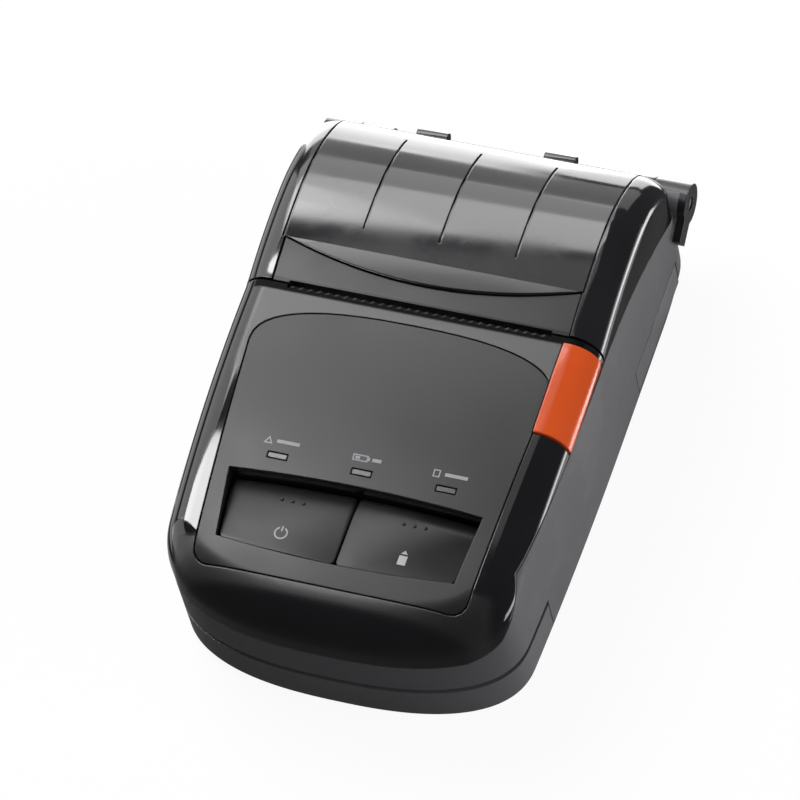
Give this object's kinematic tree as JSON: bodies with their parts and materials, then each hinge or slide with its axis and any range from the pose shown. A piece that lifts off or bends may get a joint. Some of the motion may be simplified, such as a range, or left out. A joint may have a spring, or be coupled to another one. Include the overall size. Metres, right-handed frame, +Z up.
{
  "type": "portable receipt printer",
  "caption": "Pocket thermal receipt printer with a hinged glossy paper cover, a side open button, keys in a recess and a pull-out battery pack.",
  "frame": {"origin": "centre of the bounding box in plan, at the flat underside", "axes": "+Y from the rounded nose to the hinge, +X to the side with the open button and the sockets, +Z up"},
  "size_m": [0.0836, 0.13, 0.0445],
  "materials": {
    "lower_case": "fine matte texture",
    "battery_pack": "fine matte texture",
    "battery_contacts": "plated contacts in a dark block",
    "upper_case": "polished",
    "top_panel": "satin",
    "lamp_left": "clear light pipe",
    "lamp_middle": "clear light pipe",
    "lamp_right": "clear light pipe",
    "power_key": "satin with a printed sign",
    "feed_key": "satin with a printed sign",
    "key_board": "solder mask",
    "power_switch": "moulded",
    "feed_switch": "moulded",
    "main_board": "solder mask",
    "processor": "moulded",
    "radio_module": "shield can",
    "board_connector": "moulded",
    "mech_frame": "glass-filled moulding",
    "print_head": "glazed ceramic strip",
    "head_plate": "plain",
    "head_pin": "ground",
    "head_spring_left": "spring wire",
    "head_spring_right": "spring wire",
    "tear_bar": "stamped",
    "idler_gear": "moulded nylon",
    "reduction_gear": "moulded nylon",
    "motor_pinion": "cut",
    "motor": "drawn can",
    "idler_pin": "ground",
    "reduction_pin": "ground",
    "open_button": "polished",
    "button_spring": "spring wire",
    "release_latch": "formed",
    "platen_shaft": "ground",
    "platen_rubber": "ground",
    "platen_gear": "moulded nylon",
    "bushing_left": "moulded nylon",
    "bushing_right": "moulded nylon",
    "paper_cover": "polished",
    "cover_lip": "satin",
    "hinge_pin_left": "ground",
    "hinge_pin_right": "ground",
    "cover_spring": "spring wire",
    "port_board": "solder mask",
    "usb_socket": "stamped shell",
    "dc_jack": "moulded",
    "port_cover": "fine matte texture",
    "case_screw_front_left": "plain",
    "case_screw_front_right": "plain",
    "case_screw_rear_left": "plain",
    "case_screw_rear_right": "plain",
    "paper_sensor": "moulded",
    "cover_switch": "moulded"
  },
  "bodies": {
    "base": {"lower_case": "lower_case", "battery_contacts": "battery_contacts", "upper_case": "upper_case", "top_panel": "top_panel", "lamp_left": "lamp_left", "lamp_middle": "lamp_middle", "lamp_right": "lamp_right", "key_board": "key_board", "power_switch": "power_switch", "feed_switch": "feed_switch", "main_board": "main_board", "processor": "processor", "radio_module": "radio_module", "board_connector": "board_connector", "mech_frame": "mech_frame", "head_pin": "head_pin", "head_spring_left": "head_spring_left", "head_spring_right": "head_spring_right", "tear_bar": "tear_bar", "motor": "motor", "idler_pin": "idler_pin", "reduction_pin": "reduction_pin", "button_spring": "button_spring", "hinge_pin_left": "hinge_pin_left", "hinge_pin_right": "hinge_pin_right", "cover_spring": "cover_spring", "port_board": "port_board", "usb_socket": "usb_socket", "dc_jack": "dc_jack", "case_screw_front_left": "case_screw_front_left", "case_screw_front_right": "case_screw_front_right", "case_screw_rear_left": "case_screw_rear_left", "case_screw_rear_right": "case_screw_rear_right", "paper_sensor": "paper_sensor", "cover_switch": "cover_switch"},
    "battery": {"battery_pack": "battery_pack"},
    "cover": {"paper_cover": "paper_cover", "cover_lip": "cover_lip", "bushing_left": "bushing_left", "bushing_right": "bushing_right"},
    "platen": {"platen_shaft": "platen_shaft", "platen_rubber": "platen_rubber", "platen_gear": "platen_gear"},
    "idler": {"idler_gear": "idler_gear"},
    "reduction": {"reduction_gear": "reduction_gear"},
    "motor_rotor": {"motor_pinion": "motor_pinion"},
    "open_button": {"open_button": "open_button"},
    "latch": {"release_latch": "release_latch"},
    "power_key": {"power_key": "power_key"},
    "feed_key": {"feed_key": "feed_key"},
    "head": {"print_head": "print_head", "head_plate": "head_plate"},
    "port_cover": {"port_cover": "port_cover"}
  },
  "joints": [
    {"name": "battery_slide", "type": "slide", "parent": "base", "child": "battery", "axis": [0, -1, 0], "range_m": [0, 0.075]},
    {"name": "cover_hinge", "type": "hinge", "parent": "base", "child": "cover", "pos_m": [0, 0.0605, 0.02], "axis": [-1, 0, 0], "range_deg": [0, 95]},
    {"name": "platen_spin", "type": "hinge", "parent": "cover", "child": "platen", "pos_m": [0, 0.0155, 0.0315], "axis": [1, 0, 0], "continuous": true},
    {"name": "idler_spin", "type": "hinge", "parent": "base", "child": "idler", "pos_m": [0, 0.00885, 0.01998], "axis": [1, 0, 0], "continuous": true},
    {"name": "reduction_spin", "type": "hinge", "parent": "base", "child": "reduction", "pos_m": [0, -0.00313, 0.02167], "axis": [1, 0, 0], "continuous": true},
    {"name": "motor_spin", "type": "hinge", "parent": "base", "child": "motor_rotor", "pos_m": [0, -0.01581, 0.021], "axis": [1, 0, 0], "continuous": true},
    {"name": "open_button_slide", "type": "slide", "parent": "base", "child": "open_button", "axis": [0, 0, -1], "range_m": [0, 0.001], "stiffness_N_per_m": 300, "springref_m": -0.002, "deforming": ["button_spring"]},
    {"name": "latch_turn", "type": "hinge", "parent": "base", "child": "latch", "pos_m": [0, 0.0042, 0.027], "axis": [1, 0, 0], "range_deg": [0, 14]},
    {"name": "power_key_slide", "type": "slide", "parent": "base", "child": "power_key", "axis": [0, 0, -1], "range_m": [0, 0.0005], "stiffness_N_per_m": 500, "springref_m": -0.001},
    {"name": "feed_key_slide", "type": "slide", "parent": "base", "child": "feed_key", "axis": [0, 0, -1], "range_m": [0, 0.0005], "stiffness_N_per_m": 500, "springref_m": -0.001},
    {"name": "head_tilt", "type": "hinge", "parent": "base", "child": "head", "pos_m": [0, 0.00845, 0.0255], "axis": [1, 0, 0], "range_deg": [0, 1.5], "stiffness_Nm_per_rad": 0.5, "springref_deg": -2.86},
    {"name": "port_cover_turn", "type": "hinge", "parent": "base", "child": "port_cover", "pos_m": [0.03955, 0.0365, 0.0037], "axis": [0, 1, 0], "range_deg": [0, 90]}
  ],
  "couplings": [
    {"joint": "idler_spin", "follows": "platen_spin", "ratio": -0.69231},
    {"joint": "reduction_spin", "follows": "platen_spin", "ratio": 1.2857},
    {"joint": "motor_spin", "follows": "platen_spin", "ratio": -3.2143},
    {"joint": "latch_turn", "follows": "open_button_slide", "rad_per_m": 121.95}
  ]
}
